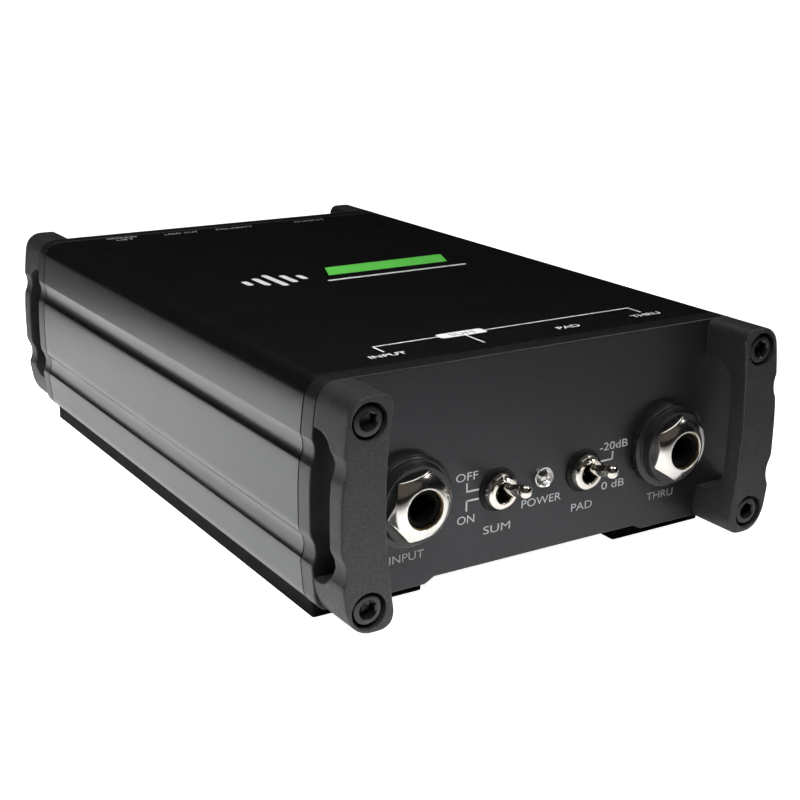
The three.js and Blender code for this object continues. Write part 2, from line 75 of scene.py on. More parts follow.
CASE_Z = low("bumper_front_left").z  # lower ends of the bumpers, above the floor
BODY_H = high("case_sleeve").z - CASE_Z
UNDERSIDE_Z = low("case_sleeve").z - CASE_Z  # underside of the case, above the bumpers' ends
HALF_W = high("case_sleeve").x
SLEEVE_END = high("case_sleeve").y
PANEL_Y = high("rear_panel").y
PLATE_T = PANEL_Y - SLEEVE_END
BUMPER_D = high("bumper_rear_left").y - PANEL_Y
SKIN = 0.03  # the prints' room under the top of the CAD box

FRONT = Matrix.Translation((0, -PANEL_Y, CASE_Z))
REAR = Matrix.Translation((0, PANEL_Y, CASE_Z)) @ Matrix.Rotation(math.pi, 4, "Z")
MIRROR = Matrix.Diagonal((-1, 1, 1, 1))


def spot(node):
    """A frame on the panel's outer face at a node's middle, its Y pointing into the case."""
    centre = middle(node)
    if centre.y < 0:
        return Matrix.Translation((centre.x, -PANEL_Y, centre.z))
    return Matrix.Translation((centre.x, PANEL_Y, centre.z)) @ Matrix.Rotation(math.pi, 4, "Z")


# ---------- materials ----------
class Finish:
    """A principled material whose colour, roughness and bump come from procedural noise."""

    def __init__(self, name, color, rough, metal=0.0, **constants):
        self.material = bpy.data.materials.new(name)
        self.material.use_nodes = True
        self.tree = self.material.node_tree
        self.shader = self.tree.nodes["Principled BSDF"]
        self.shader.inputs["Metallic"].default_value = metal
        for socket, value in constants.items():
            self.shader.inputs[socket.replace("_", " ")].default_value = value
        self.color = color
        self.rough = rough
        self.coords = self.add("ShaderNodeTexCoord").outputs["Object"]
        self.bump = None

    def add(self, kind, inputs=None, **settings):
        node = self.tree.nodes.new(kind)
        for key, value in settings.items():
            setattr(node, key, value)
        for key, value in (inputs or {}).items():
            if isinstance(value, bpy.types.NodeSocket):
                self.tree.links.new(value, node.inputs[key])
            else:
                node.inputs[key].default_value = value
        return node

    def noise(self, size_mm, stretch=(1, 1, 1), detail=3.0, roughness=0.55):
        """Noise with features of about size_mm, drawn out along an axis whose stretch is small."""
        scaled = self.add("ShaderNodeMapping", {"Vector": self.coords, "Scale": stretch})
        inputs = {
            "Vector": scaled.outputs["Vector"],
            "Scale": 1 / (size_mm * MM),
            "Detail": detail,
            "Roughness": roughness,
        }
        return self.add("ShaderNodeTexNoise", inputs).outputs["Fac"]

    def remap(self, value, low_in, high_in, low_out, high_out):
        inputs = {
            "Value": value,
            "From Min": low_in,
            "From Max": high_in,
            "To Min": low_out,
            "To Max": high_out,
        }
        return self.add("ShaderNodeMapRange", inputs).outputs["Result"]

    def tint(self, fac, dark, light):
        """Colour from dark to light multiples of the base colour."""
        ramp = self.add("ShaderNodeValToRGB", {"Fac": fac})
        for stop, share, place in zip(ramp.color_ramp.elements, (dark, light), (0.3, 0.7)):
            stop.position = place
            stop.color = [min(1.0, c * share) for c in self.color] + [1]
        self.tree.links.new(ramp.outputs["Color"], self.shader.inputs["Base Color"])
        return self

    def dull(self, fac, spread):
        result = self.remap(fac, 0.25, 0.75, self.rough - spread, self.rough + spread)
        self.tree.links.new(result, self.shader.inputs["Roughness"])
        return self

    def raise_by(self, height, distance_mm, strength=1.0):
        inputs = {"Height": height, "Distance": distance_mm * MM, "Strength": strength}
        if self.bump:
            inputs["Normal"] = self.bump
        self.bump = self.add("ShaderNodeBump", inputs).outputs["Normal"]
        self.tree.links.new(self.bump, self.shader.inputs["Normal"])
        return self


def anodised(name, color, rough, along, line_run, line_depth, **constants):
    """Black anodised aluminium with fine lines along one axis and faint handling marks."""
    made = Finish(name, color, rough, **constants)
    lines = made.noise(0.26, [line_run if axis == along else 1 for axis in "XYZ"], detail=5)
    marks = made.noise(14, detail=5, roughness=0.65)
    made.tint(lines, 0.6, 1.5)
    made.dull(marks, 0.035)
    made.raise_by(lines, line_depth, 0.8)
    return made.raise_by(made.noise(0.35), 0.018, 0.8).material


def powder_coat(name, color):
    """A baked coat with a fine pebbled surface."""
    made = Finish(name, color, 0.48, Specular_IOR_Level=0.5, Specular_Tint=(0.94, 0.95, 1.0, 1))
    pebbles = made.noise(0.3, detail=2, roughness=0.5)
    made.tint(pebbles, 0.3, 2.1)
    made.dull(made.noise(3, detail=4), 0.06)
    made.raise_by(pebbles, 0.16, 0.9)
    return made.raise_by(made.noise(6), 0.08, 0.25).material


def moulded(name, color, rough, grain_mm=0.2, height_mm=0.008, **constants):
    """Moulded plastic, rubber or oxide-black steel: a fine even grain and slight patches."""
    made = Finish(name, color, rough, **constants)
    made.tint(made.noise(2.2, detail=5), 0.7, 1.35)
    made.dull(made.noise(1.5, detail=4), 0.05)
    return made.raise_by(made.noise(grain_mm), height_mm, 0.6).material


def plated(name, color, rough, **constants):
    """Bright plating, with polishing haze and hairline scratches."""
    made = Finish(name, color, rough, metal=1.0, **constants)
    made.tint(made.noise(1.6, detail=4), 0.93, 1.04)
    hairs = made.noise(0.1, (1, 0.06, 0.3), detail=2)
    made.dull(hairs, 0.03)
    made.raise_by(hairs, 0.0006, 0.4)
    return made.raise_by(made.noise(1.6, detail=1), 0.006, 0.3).material


def printed(name, color):
    """Screen-printed ink, a little uneven in thickness."""
    made = Finish(name, color, 0.55)
    made.tint(made.noise(0.25), 0.82, 1.1)
    made.dull(made.noise(0.5), 0.08)
    return made.raise_by(made.noise(0.12), 0.006, 0.6).material


def clear_lens(name, color):
    made = Finish(name, color, 0.05, Transmission_Weight=1.0, IOR=1.5)
    made.tint(made.noise(1.5), 0.96, 1.0)
    made.dull(made.noise(0.8), 0.03)
    return made.raise_by(made.noise(0.9), 0.01, 0.3).material


SLEEVE_BLACK = anodised(
    "sleeve_black", (0.0035, 0.0037, 0.0036), 0.22, "Y", 0.02, 0.003,
    Specular_IOR_Level=0.95, Specular_Tint=(0.95, 1.0, 0.985, 1),
)
PANEL_BLACK = anodised(
    "panel_black", (0.009, 0.0092, 0.0098), 0.34, "X", 0.09, 0.011,
    Specular_IOR_Level=0.45, Specular_Tint=(0.93, 0.94, 1.0, 1),
)
RIM_BLACK = anodised(
    "rim_black", (0.008, 0.0082, 0.0084), 0.3, "X", 0.15, 0.006, Specular_IOR_Level=0.45
)
COAT_BLACK = powder_coat("powder_coat_black", (0.014, 0.0142, 0.0144))
SCREW_BLACK = moulded("screw_black", (0.007, 0.007, 0.007), 0.22, height_mm=0.003)
RUBBER = moulded(
    "black_rubber", (0.003, 0.003, 0.003), 0.72, grain_mm=0.35, height_mm=0.03,
    Specular_IOR_Level=0.14,
)
PLASTIC = moulded("black_plastic", (0.008, 0.008, 0.0085), 0.24, height_mm=0.002)
# Painted shade: the jack bodies' black plastic, darker and duller than the other plastic, standing in
# for the shade down the jacks' bores.
BORE_SHADE_BLACK = moulded("bore_painted_shade", (0.002, 0.002, 0.002), 0.7, Specular_IOR_Level=0.12)
WASHER_BLACK = moulded("washer_black", (0.004, 0.004, 0.004), 0.4, Specular_IOR_Level=0.2)
CHROME = plated("bright_chrome", (0.88, 0.85, 0.8), 0.17)
NICKEL = plated("bright_nickel", (0.8, 0.76, 0.7), 0.14)
# Steel of the bushings and pivot balls, its colour darkened as painted shade in the hole round each
# lever's foot.
PIVOT_SHADE_STEEL = plated("pivot_steel_painted_shade", (0.1, 0.085, 0.07), 0.3)
SILVER = plated("silver_plate", (0.85, 0.84, 0.82), 0.2)
BRASS = plated("gold_brass", (0.83, 0.6, 0.28), 0.4)
LENS = clear_lens("clear_lens", (1.0, 1.0, 1.0))
BOARD_GREEN = moulded("board_green", (0.012, 0.07, 0.03), 0.4)
# Greyer copy of the white ink. On the front legends it is painted shade, since the front face gets
# less light than the top. The rear legends take it as a greyer print.
INK_GREY_SHADED = printed("ink_grey_painted_shade", (0.4, 0.41, 0.415))
INK_WHITE = printed("ink_white", (0.7, 0.71, 0.71))
INK_GREEN = printed("ink_green", (0.12, 0.62, 0.08))
INK_DARK = printed("ink_dark", (0.02, 0.02, 0.021))


# ---------- mesh making ----------
WELD = 2e-7  # vertices closer than this, in metres, become one
SLIVER = 1e-7  # edges shorter than this, in metres, are dissolved


def mesh_object(name, shape, place=None):
    """An object with a clean mesh of (vertices, faces) in millimetres."""
    vertices, faces = shape
    place = place or Matrix.Identity(4)
    mesh = bpy.data.meshes.new(name)
    mesh.from_pydata([(place @ Vector(v)) * MM for v in vertices], [], faces)
    work = bmesh.new()
    work.from_mesh(mesh)
    bmesh.ops.remove_doubles(work, verts=work.verts, dist=WELD)
    bmesh.ops.dissolve_degenerate(work, edges=work.edges, dist=SLIVER)
    bmesh.ops.recalc_face_normals(work, faces=work.faces)
    work.to_mesh(mesh)
    work.free()
    made = bpy.data.objects.new(name, mesh)
    bpy.context.scene.collection.objects.link(made)
    return made


def piece(name, shape, material, place=None, body="case", stands_for=(), sharp=32):
    """Makes a visible piece, its edges sharp where they turn by more, and hangs it on a body."""
    made = mesh_object(name, shape, place)
    mesh = made.data
    mesh.shade_smooth()
    mesh.set_sharp_from_angle(angle=math.radians(sharp))
    mesh.materials.append(material)
    weighted = made.modifiers.new("even_normals", "WEIGHTED_NORMAL")
    weighted.keep_sharp = True
    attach(made, body)
    if stands_for:
        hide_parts(*stands_for)
    return made


def joined(*shapes):
    vertices, faces = [], []
    for more_vertices, more_faces in shapes:
        start = len(vertices)
        vertices += more_vertices
        faces += [[start + i for i in face] for face in more_faces]
    return vertices, faces


def loft(rings, closed=False):
    """Joins rings of points; a ring of one point closes an end."""
    vertices, faces, starts = [], [], []
    for ring in rings:
        starts.append(len(vertices))
        vertices += ring
    count = len(rings)
    for a in range(count if closed else count - 1):
        b = (a + 1) % count
        sides = max(len(rings[a]), len(rings[b]))
        for i in range(sides):
            j = (i + 1) % sides
            near = [starts[a] + i, starts[a] + j] if len(rings[a]) > 1 else [starts[a]]
            far = [starts[b] + j, starts[b] + i] if len(rings[b]) > 1 else [starts[b]]
            faces.append(near + far)
    return vertices, faces


def around(sides):
    """Equally spaced angles of a full turn."""
    return [2 * math.pi * i / sides for i in range(sides)]


def ring_at(radius, y, turn):
    """A ring of points about Y, seen from the front clockwise from the top."""
    return [(radius * math.sin(a), y, radius * math.cos(a)) for a in turn]


def turned(profile, sides=64, closed=False):
    """A piece turned about Y from [radius, y] points."""
    turn = around(sides)
    rings = [ring_at(radius, y, turn) if radius > 0 else [(0, y, 0)] for radius, y in profile]
    return loft(rings, closed)


def hex_reach(flats, a):
    """How far a hexagon with one corner straight up reaches at an angle."""
    return flats / 2 / math.cos((a % (math.pi / 3)) - math.pi / 6)


def arc(cx, cy, radius, start, end, steps):
    """Points of an arc, angles in degrees."""
    turn = [math.radians(start + (end - start) * i / steps) for i in range(steps + 1)]
    return [(cx + radius * math.cos(a), cy + radius * math.sin(a)) for a in turn]


def curve(a, b, c, steps):
    """Points of a quadratic curve from a to c, pulled towards b, without a itself."""
    points = []
    for i in range(1, steps + 1):
        t = i / steps
        near, pull, far = (1 - t) ** 2, 2 * t * (1 - t), t * t
        points.append((
            near * a[0] + pull * b[0] + far * c[0],
            near * a[1] + pull * b[1] + far * c[1],
        ))
    return points


BEND = math.radians(20)  # a smaller turn is part of a curve, and not a corner


def softened(points, radius, steps=3, closed=True):
    """Rounds the corners of a run of points."""
    made = []
    count = len(points)
    for i, p in enumerate(points):
        if not closed and i in (0, count - 1):
            made.append(p)
            continue
        here = Vector(p)
        back = Vector(points[i - 1]) - here
        on = Vector(points[(i + 1) % count]) - here
        turn = math.pi - back.angle(on, math.pi)
        if turn < BEND:
            made.append(p)
            continue
        reach = min(radius * math.tan(turn / 2), 0.42 * back.length, 0.42 * on.length)
        first = here + back.normalized() * reach
        last = here + on.normalized() * reach
        made.append(tuple(first))
        made += curve(tuple(first), p, tuple(last), steps)
    return made


def rounded_rect(x0, x1, y0, y1, radius, steps=8):
    return (
        arc(x1 - radius, y0 + radius, radius, -90, 0, steps)
        + arc(x1 - radius, y1 - radius, radius, 0, 90, steps)
        + arc(x0 + radius, y1 - radius, radius, 90, 180, steps)
        + arc(x0 + radius, y0 + radius, radius, 180, 270, steps)
    )


def circle(cx, cy, diameter, steps=48):
    return arc(cx, cy, diameter / 2, 0, 360, steps)[:-1]


def area(loop):
    return sum(a[0] * b[1] - b[0] * a[1] for a, b in zip(loop, loop[1:] + loop[:1])) / 2


def inset(loop, distance):
    """Moves a loop towards its left-hand side."""
    made = []
    count = len(loop)
    for i, p in enumerate(loop):
        a = (Vector(p) - Vector(loop[i - 1])).normalized()
        b = (Vector(loop[(i + 1) % count]) - Vector(p)).normalized()
        normal_a, normal_b = Vector((-a.y, a.x)), Vector((-b.y, b.x))
        push = (normal_a + normal_b) / max(0.4, 1 + normal_a.dot(normal_b))
        made.append(tuple(Vector(p) + push * distance))
    return made


AXES = {
    "X": lambda u, v, t: (t, u, v),
    "Y": lambda u, v, t: (u, t, v),
    "Z": lambda u, v, t: (u, v, t),
}


def prism(outer, start, end, holes=(), edges=(0, 0), steps=3, axis="Y"):
    """A flat outline carried along an axis, its edges at either end rounded by edges."""
    loops = [outer if area(outer) > 0 else outer[::-1]]
    loops += [hole if area(hole) < 0 else hole[::-1] for hole in holes]
    stations = []
    for k in range(steps + 1 if edges[0] else 1):
        a = math.pi / 2 * k / steps
        stations.append((edges[0] * (1 - math.sin(a)), start + edges[0] * (1 - math.cos(a))))
    for k in range(steps, -1, -1) if edges[1] else [0]:
        a = math.pi / 2 * k / steps
        stations.append((edges[1] * (1 - math.sin(a)), end - edges[1] * (1 - math.cos(a))))
    shape = ([], [])
    for loop in loops:
        rings = [[AXES[axis](u, v, t) for u, v in inset(loop, d)] for d, t in stations]
        shape = joined(shape, loft(rings))
    for d, t in (stations[0], stations[-1]):
        flat = [inset(loop, d) for loop in loops]
        triangles = tessellate_polygon([[Vector((u, v, 0)) for u, v in loop] for loop in flat])
        points = [AXES[axis](u, v, t) for loop in flat for u, v in loop]
        shape = joined(shape, (points, [list(face) for face in triangles]))
    return shape


# ---------- the outline that sleeve, plates and bumpers share ----------
CORNER_R = 4.8
SHOULDER_X = HALF_W - 1.6
GROOVE_R = 6
GROOVE_X = HALF_W + 4.7
GROOVE_Z = (36.45, 14.4)
GROOVE_HALF = 2.95
GROOVE_CREST = 2.6  # the upper groove's opening above its middle
LIP = 1.1  # rounding of the grooves' edges


def grooved_side():
    """The right-hand side from the foot of the upper corner down past the lower groove."""
    upper, lower = GROOVE_Z
    half = math.degrees(math.asin(GROOVE_HALF / GROOVE_R))
    crest = math.degrees(math.asin(GROOVE_CREST / GROOVE_R))
    edge = (GROOVE_X - math.sqrt(GROOVE_R**2 - GROOVE_HALF**2), upper - GROOVE_HALF)
    side = arc(GROOVE_X, upper, GROOVE_R, 180 - crest, 180 + half, 14)
    side += curve(edge, (HALF_W - 0.15, edge[1] - 1.1), (HALF_W, 26), 10)
    brow = (edge[0], lower + GROOVE_HALF)
    side += [(HALF_W, 20)] + curve((HALF_W, 20), (HALF_W, brow[1] + 0.9), brow, 6)
    side += arc(GROOVE_X, lower, GROOVE_R, 180 - half, 180 + half, 14)[1:]
    return side + [(59.55, lower - GROOVE_HALF - 1)]


def upper_corner(steps):
    """The right-hand upper corner, running smoothly into the slightly bulging strip below it."""
    corner = arc(SHOULDER_X - CORNER_R, BODY_H - CORNER_R, CORNER_R, 90, 10, steps)
    side = grooved_side()
    strip = curve(corner[-1], (SHOULDER_X + 0.44, 44.2), side[0], 8)
    return corner + strip[:-1] + side


def case_outline():
    foot = [(59.02, 4.8)] + curve((59.02, 4.8), (58.9, 2.2), (57.3, 1.25), 8)
    foot += curve((57.3, 1.25), (56.7, UNDERSIDE_Z), (56, UNDERSIDE_Z), 5)
    half = upper_corner(14) + foot + [(31.2, UNDERSIDE_Z), (28.8, UNDERSIDE_Z + 1.3)]
    return softened(half + [(-x, z) for x, z in reversed(half)], LIP)


def bumper_outline():
    lower = [(58.9, 6)]
    lower += curve((58.9, 6), (57.6, 0.3), (53, 0), 8) + [(50.9, 0)]
    lower += curve((50.9, 0), (47.4, 0.2), (47.4, 3.8), 8)
    inner = curve((47.4, 3.8), (51.2, 26), (47.9, 48.4), 16)
    inner += curve((47.9, 48.4), (48.2, BODY_H), (50.5, BODY_H), 8)
    return [*upper_corner(10), *lower, *inner]


# ---------- the case ----------
TOGGLES = ("merge", "pad", "ground_lift", "low_cut", "polarity")  # the first two in front
SCREW_X = middle("screw_front_right_upper").x
SCREW_Z = [middle(f"screw_front_right_{level}").z - CASE_Z for level in ("upper", "lower")]
SCREW_HOLE = 4.4  # diameters of the holes in the plates
JACK_HOLE = 9.8
TOGGLE_HOLE = 6.6
XLR_HOLE = 24
XLR_SCREW_HOLE = 2.7
PLATE_EDGE = 0.35
BRUSHED_FROM = 0.7  # a plate's faces that look along Y by less than this are its rim
SEAM = 0.22  # the dark line between sleeve and plates


def make_case():
    end = SLEEVE_END - SEAM
    shell = prism(
        inset(case_outline()[::-1], SKIN), -end, end,
        holes=[rounded_rect(-56.2, 56.2, 3.6, 48.5, 3)], edges=(0.12, 0.12), steps=2,
    )
    piece(
        "sleeve_extrusion",
        shell,
        SLEEVE_BLACK,
        Matrix.Translation((0, 0, CASE_Z)),
        stands_for=["case_sleeve"],
    )


def make_plate(name, node, place, features):
    """An end plate with its screw holes and a hole for each (node, diameter) feature."""
    holes = [circle(x, z, SCREW_HOLE) for x in (-SCREW_X, SCREW_X) for z in SCREW_Z]
    inward = place.inverted()
    for feature, diameter in features:
        at = inward @ middle(feature)
        holes.append(circle(at.x, at.z, diameter))
    shape = prism(case_outline(), 0, PLATE_T, holes=holes, edges=(PLATE_EDGE, PLATE_EDGE))
    plate = piece(name, shape, PANEL_BLACK, place, stands_for=[node])
    plate.data.materials.append(RIM_BLACK)
    for face in plate.data.polygons:
        if abs(face.normal.y) < BRUSHED_FROM:
            face.material_index = 1


def make_plates():
    front = [(f"{jack}_jack_nut", JACK_HOLE) for jack in ("input", "thru")]
    front += [(f"{toggle}_switch_nut", TOGGLE_HOLE) for toggle in TOGGLES[:2]]
    make_plate("front_plate", "front_panel", FRONT, front)
    rear = [("output_xlr_insert", XLR_HOLE)]
    rear += [(f"{toggle}_switch_nut", TOGGLE_HOLE) for toggle in TOGGLES[2:]]
    rear += [(f"output_xlr_screw_{level}", XLR_SCREW_HOLE) for level in ("upper", "lower")]
    make_plate("rear_plate", "rear_panel", REAR, rear)


SLOT = (-8.25, 6, 8.85, 42)  # the finger slot's ends along Y, then along Z
SLOT_R = 6
SEAT_DEPTH = 4.5  # of the counterbores
SEAT_R = 4
BORE_R = 2.2
CASTING_VOXEL = 0.22
CASTING_SHARE = 0.4  # of the remeshed faces, kept


def bumper_casting():
    """The right-hand bumper as a casting: cut, remeshed finely and smoothed so its edges are soft."""
    body = mesh_object("working", prism(bumper_outline(), -BUMPER_D, 0, edges=(0.4, 0.1)))
    slot = rounded_rect(*SLOT, SLOT_R, steps=12)
    cutters = [mesh_object("working", prism(slot, 30, 70, axis="X"))]
    seat = -BUMPER_D + SEAT_DEPTH
    bore = turned(
        [(0, -20), (SEAT_R, -20), (SEAT_R, seat), (BORE_R, seat), (BORE_R, 2), (0, 2)]
    )
    for z in SCREW_Z:
        moved = [(x + SCREW_X, y, w + z) for x, y, w in bore[0]]
        cutters.append(mesh_object("working", (moved, bore[1])))
    for cutter in cutters:
        cut = body.modifiers.new("cut", "BOOLEAN")
        cut.operation = "DIFFERENCE"
        cut.solver = "EXACT"
        cut.object = cutter
    remesh = body.modifiers.new("fine", "REMESH")
    remesh.mode = "VOXEL"
    remesh.voxel_size = CASTING_VOXEL * MM
    smooth = body.modifiers.new("soft", "SMOOTH")
    smooth.factor = 0.5
    smooth.iterations = 4
    thin = body.modifiers.new("thin", "DECIMATE")
    thin.ratio = CASTING_SHARE
    settled = body.evaluated_get(bpy.context.evaluated_depsgraph_get())
    mesh = bpy.data.meshes.new_from_object(settled)
    shape = ([tuple(v.co / MM) for v in mesh.vertices], [list(p.vertices) for p in mesh.polygons])
    for used in [body, *cutters]:
        bpy.data.objects.remove(used)
    return shape


def make_bumpers():
    casting = bumper_casting()
    places = {
        "front_right": FRONT,
        "front_left": FRONT @ MIRROR,
        "rear_left": REAR,
        "rear_right": REAR @ MIRROR,
    }
    for corner, place in places.items():
        piece(
            f"casting_{corner}",
            casting,
            COAT_BLACK,
            place,
            stands_for=[f"bumper_{corner}"],
            sharp=180,
        )


def socket_head(radius, top, under, flats, depth, bevel, shank, end):
    """A socket head screw about Y: head from under (inner) to top (outer), then its shank."""
    turn = around(48)
    floor = top + depth
    rings = [[(0, floor + 0.35, 0)]]
    for grow, y in ((-0.25, floor), (0, floor - 0.1), (0, top + 0.3)):
        reach = [hex_reach(flats + 2 * grow, a) for a in turn]
        rings.append([(r * math.sin(a), y, r * math.cos(a)) for r, a in zip(reach, turn)])
    outside = [
        (flats / 2 + 0.28, top + 0.16),
        (flats / 2 + 0.4, top),
        (radius - bevel, top),
        (radius - bevel * 0.35, top + bevel * 0.3),
        (radius, top + bevel),
        (radius, under),
        (shank, under),
        (shank, end),
    ]
    rings += [ring_at(r, y, turn) for r, y in outside]
    return loft([*rings, [(0, end, 0)]])


def make_case_screws():
    top = -BUMPER_D + 0.5
    shape = socket_head(
        radius=3.5, top=top, under=top + 4, flats=3.55, depth=2.6, bevel=0.6, shank=2, end=top + 29
    )
    for end in ("front", "rear"):
        for side in ("left", "right"):
            for level in ("upper", "lower"):
                node = f"screw_{end}_{side}_{level}"
                name = f"cap_{node}"
                piece(name, shape, SCREW_BLACK, spot(node), stands_for=[node])


def make_feet():
    for side in ("left", "right"):
        a, b = low(f"foot_{side}"), high(f"foot_{side}")
        plan = rounded_rect(a.x, b.x, a.y, b.y, 0.6, steps=4)
        shape = prism(plan, a.z, b.z, edges=(0.3, 0.2), axis="Z")
        piece(f"pad_{side}", shape, RUBBER, stands_for=[f"foot_{side}"])


# ---------- jacks ----------
NUT_FLATS = 14.3
NUT_FACE = -7.9
NUT_LIP = 4.45
COLLAR_END = -5.0
NUT_TURNS = {"input": 18, "thru": 4}  # degrees from corner up, as the nuts were tightened
SHOULDER = 0.25  # the nut's rounded edge, seen from the front
SHOULDER_DROP = 0.45  # and its depth along the nut
DOME_STEPS = 12
SHOULDER_STEPS = 6


def jack_nut():
    """A domed hexagonal nut with a rolled lip round its bore, one corner straight up."""
    corner = NUT_FLATS / math.sqrt(3)
    crown = NUT_LIP + 0.22

    def reach(a):
        return min(hex_reach(NUT_FLATS, a), corner - 0.12)

    def dome(r):
        out = max(0.0, r - crown) / (corner - crown)
        return NUT_FACE + 0.75 * out + 1.85 * out**2

    turn = around(96)
    bore = [
        (4.8, COLLAR_END),
        (4.8, NUT_FACE + 1.0),
        (NUT_LIP, NUT_FACE + 0.9),
        (NUT_LIP, NUT_FACE + 0.25),
        (NUT_LIP + 0.03, NUT_FACE + 0.12),
        (NUT_LIP + 0.11, NUT_FACE + 0.02),
        (crown, NUT_FACE),
    ]
    rings = [ring_at(r, y, turn) for r, y in bore]
    for k in range(1, DOME_STEPS + 1):
        ring = []
        for a in turn:
            r = crown + (reach(a) - SHOULDER - crown) * k / DOME_STEPS
            ring.append((r * math.sin(a), dome(r), r * math.cos(a)))
        rings.append(ring)
    for k in range(1, SHOULDER_STEPS + 1):
        share = k / SHOULDER_STEPS
        lean = math.pi / 2 * share
        ring = []
        for a in turn:
            r = reach(a) - SHOULDER * (1 - math.sin(lean))
            y = dome(reach(a) - SHOULDER) + 0.1 * share + SHOULDER_DROP * (1 - math.cos(lean))
            ring.append((r * math.sin(a), y, r * math.cos(a)))
        rings.append(ring)
    for grow, y in ((0, COLLAR_END - 0.1), (-0.15, COLLAR_END)):
        rings.append([
            ((reach(a) + grow) * math.sin(a), y, (reach(a) + grow) * math.cos(a)) for a in turn
        ])
    return loft(rings, closed=True)


def make_jacks():
    collar = softened(
        [(4.85, 0), (4.85, COLLAR_END), (8.75, COLLAR_END), (9.2, -2.75), (9.9, -2.75),
         (10.05, -2.4), (10.5, -2.3), (10.5, 0)],
        0.22,
    )
    inner, outer, front, back = NUT_LIP - 0.04, NUT_LIP + 0.01, NUT_FACE + 0.3, -6.75
    liner = softened(
        [(inner, back), (inner, front), (outer, front), (outer, back)], 0.01, steps=1
    )
    for jack, turn in NUT_TURNS.items():
        place = spot(f"{jack}_jack_nut")
        turned_nut = place @ Matrix.Rotation(math.radians(turn), 4, "Y")
        piece(
            f"{jack}_hex_nut", jack_nut(), CHROME, turned_nut,
            stands_for=[f"{jack}_jack_nut"], sharp=40,
        )
        piece(
            f"{jack}_ring", turned(collar, 96, closed=True), PLASTIC, place,
            stands_for=[f"{jack}_jack_collar"],
        )
        piece(f"{jack}_lip_liner", turned(liner, 96, closed=True), BRASS, place)


# ---------- toggle switches ----------
PIVOT_IN = 1.0  # the levers' hinge behind the panel's face
LEVER_TILT = 14.5
NOTCH_X = 0.35
NOTCH_HALF = 0.62
NOTCH_FROM_Z = 2.7
NOTCH_FLOOR_Y = -1.75


def notched(shape):
    """Cuts the spanner notch into the top of a dress nut's rim."""
    vertices, faces = shape
    cut = []
    for x, y, z in vertices:
        in_notch = abs(x - NOTCH_X) < NOTCH_HALF and z > NOTCH_FROM_Z
        cut.append((x, max(y, NOTCH_FLOOR_Y), z) if in_notch else (x, y, z))
    return cut, faces


def make_toggles():
    washer = softened([(3.25, 0), (3.25, -0.5), (4.95, -0.5), (5.1, -0.3), (5.1, 0)], 0.12)
    nut = softened(
        [(3.25, -0.6), (3.25, -2.35), (2.42, -2.35), (2.42, -2.6), (2.6, -2.75), (3.45, -2.7),
         (3.95, -2.3), (4.25, -1.2), (4.25, -0.6)],
        0.3,
    )
    bushing = softened(
        [(0, 3.1), (2.05, 3.1), (2.05, 0), (2.35, -2.3), (3.15, -2.3), (3.15, 5.5), (0, 5.5)],
        0.1, closed=False,
    )
    ball, neck, tip, length = 1.94, 1.0, 1.62, 11.2
    pivot_ball = [(y, x) for x, y in arc(0, 0, ball, 0, 180, 24)[1:-1]]
    pivot_ball = [(0, ball), *pivot_ball, (0, -ball)]
    bat = [(0, -1.2), (0.9, -1.2), (neck, -1.7)]
    bat += [(1.12, -3.6), (1.3, -6.5), (1.44, -8.8), (1.44, -9.4), (1.34, -9.9)]
    bat += [(y, x) for x, y in arc(-length, 0, tip, 54, 180, 16)[:-1]]
    bat += [(0, -length - tip)]
    for toggle in TOGGLES:
        base = f"{toggle}_switch"
        place = spot(f"{base}_nut")
        piece(
            f"{toggle}_washer", turned(washer, closed=True), WASHER_BLACK, place,
            stands_for=[f"{base}_washer"],
        )
        piece(
            f"{toggle}_dress_nut", notched(turned(nut, 96, closed=True)), NICKEL, place,
            stands_for=[f"{base}_nut"], sharp=40,
        )
        piece(
            f"{toggle}_bushing", turned(bushing), PIVOT_SHADE_STEEL, place,
            stands_for=[f"{base}_bushing"],
        )
        pivot = place @ Matrix.Translation((0, PIVOT_IN, 0))
        tilted = pivot @ Matrix.Rotation(math.radians(-LEVER_TILT), 4, "X")
        piece(
            f"{toggle}_bat_lever", turned(bat, 48), NICKEL, tilted,
            body=f"{toggle}_lever", stands_for=[f"{base}_lever"], sharp=50,
        )
        # the pivot ball in the darkened steel: painted shade at the lever's foot
        piece(
            f"{toggle}_pivot_ball", turned(pivot_ball, 48), PIVOT_SHADE_STEEL, tilted,
            body=f"{toggle}_lever",
        )


# ---------- indicator and XLR ----------
LAMP_FLANGE_R = 2.9


def make_indicator():
    radius = 2.5
    dome = [(y, x) for x, y in arc(-0.3, 0, radius, 90, 180, 16)]
    lens = [(0, 9), (LAMP_FLANGE_R, 9), (LAMP_FLANGE_R, 8), (radius, 8), *dome[:-1]]
    lens.append((0, -0.3 - radius))
    # The lamp's box reaches down its leads, so its place is taken from the top of its flange.
    centre_z = high("power_led").z - LAMP_FLANGE_R
    place = Matrix.Translation((middle("power_led").x, -PANEL_Y, centre_z))
    piece(
        "power_lens", turned(softened(lens, 0.15, closed=False)), LENS, place,
        stands_for=["power_led"], sharp=50,
    )
    cup = softened(
        [(0, 0.9), (0.45, 0.9), (1.5, -0.6), (1.75, -0.7), (2.0, -0.5), (2.0, 1.4), (0, 1.4)],
        0.08, closed=False,
    )
    piece("power_cup", turned(cup, 40), SILVER, place, sharp=60)
    anvil = [(-1.0, -0.45), (0.15, -0.3), (0.15, 0.3), (-1.0, 0.45)]
    post = [(0.45, -0.25), (0.9, -0.25), (0.9, 0.25), (0.45, 0.25)]
    frame_pieces = joined(
        prism(anvil, -1.25, 0.4, edges=(0.1, 0)), prism(post, -1.0, 0.4, edges=(0.1, 0))
    )
    piece("power_lead_frame", frame_pieces, SILVER, place)


PINS = (1, 2, 3)


